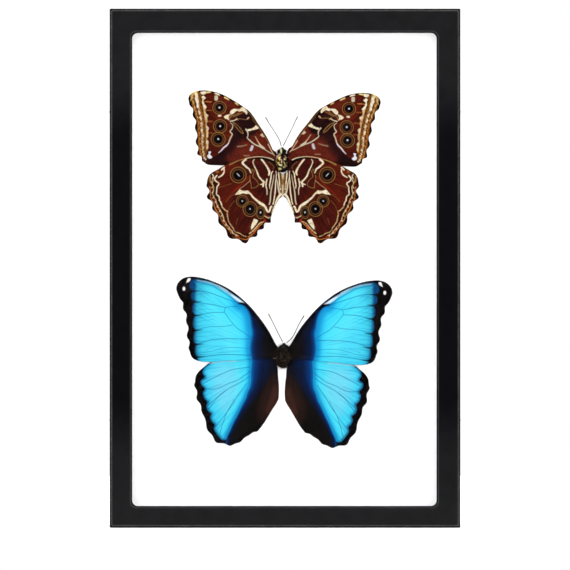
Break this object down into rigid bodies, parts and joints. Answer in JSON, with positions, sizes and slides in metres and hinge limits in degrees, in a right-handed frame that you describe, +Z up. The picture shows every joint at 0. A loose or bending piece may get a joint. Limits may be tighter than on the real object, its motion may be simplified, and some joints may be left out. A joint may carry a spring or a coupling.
{
  "type": "framed butterfly specimen",
  "caption": "Shallow black card display box with a glass front and white wadding, holding spread butterflies, the upper one brown-patterned and the lower one iridescent blue.",
  "frame": {"origin": "middle of the box's bottom edge, half way through its depth, on the surface that it stands on", "axes": "+Z up along the box's height, +Y to the back of the box, so the glass front faces -Y"},
  "size_m": [0.2022, 0.025, 0.296],
  "materials": {
    "black_card": "fine embossed black paper, semi-matt",
    "clear_glass": "clear polished sheet",
    "white_wadding": "soft white cotton wadding",
    "pin_steel": "dull dark steel",
    "brown_wing": "matt scales, red-brown with cream lines and eye spots",
    "blue_wing": "glossy iridescent blue scales with a black-brown margin",
    "olive_body": "short dense olive and dark hair",
    "black_body": "short dense black-brown hair",
    "antenna": "thin grey-brown horn-like shaft"
  },
  "bodies": {
    "root": {"lid": "black_card", "base_tray": "black_card", "glass_pane": "clear_glass", "wadding": "white_wadding", "side_pin_left_lower": "pin_steel", "side_pin_left_upper": "pin_steel", "side_pin_right_lower": "pin_steel", "side_pin_right_upper": "pin_steel", "upper_butterfly_forewing_left": "brown_wing", "upper_butterfly_forewing_right": "brown_wing", "upper_butterfly_hindwing_left": "brown_wing", "upper_butterfly_hindwing_right": "brown_wing", "upper_butterfly_body": "olive_body", "upper_butterfly_antenna_left": "antenna", "upper_butterfly_antenna_right": "antenna", "lower_butterfly_forewing_left": "blue_wing", "lower_butterfly_forewing_right": "blue_wing", "lower_butterfly_hindwing_left": "blue_wing", "lower_butterfly_hindwing_right": "blue_wing", "lower_butterfly_body": "black_body", "lower_butterfly_antenna_left": "antenna", "lower_butterfly_antenna_right": "antenna"}
  },
  "joints": []
}
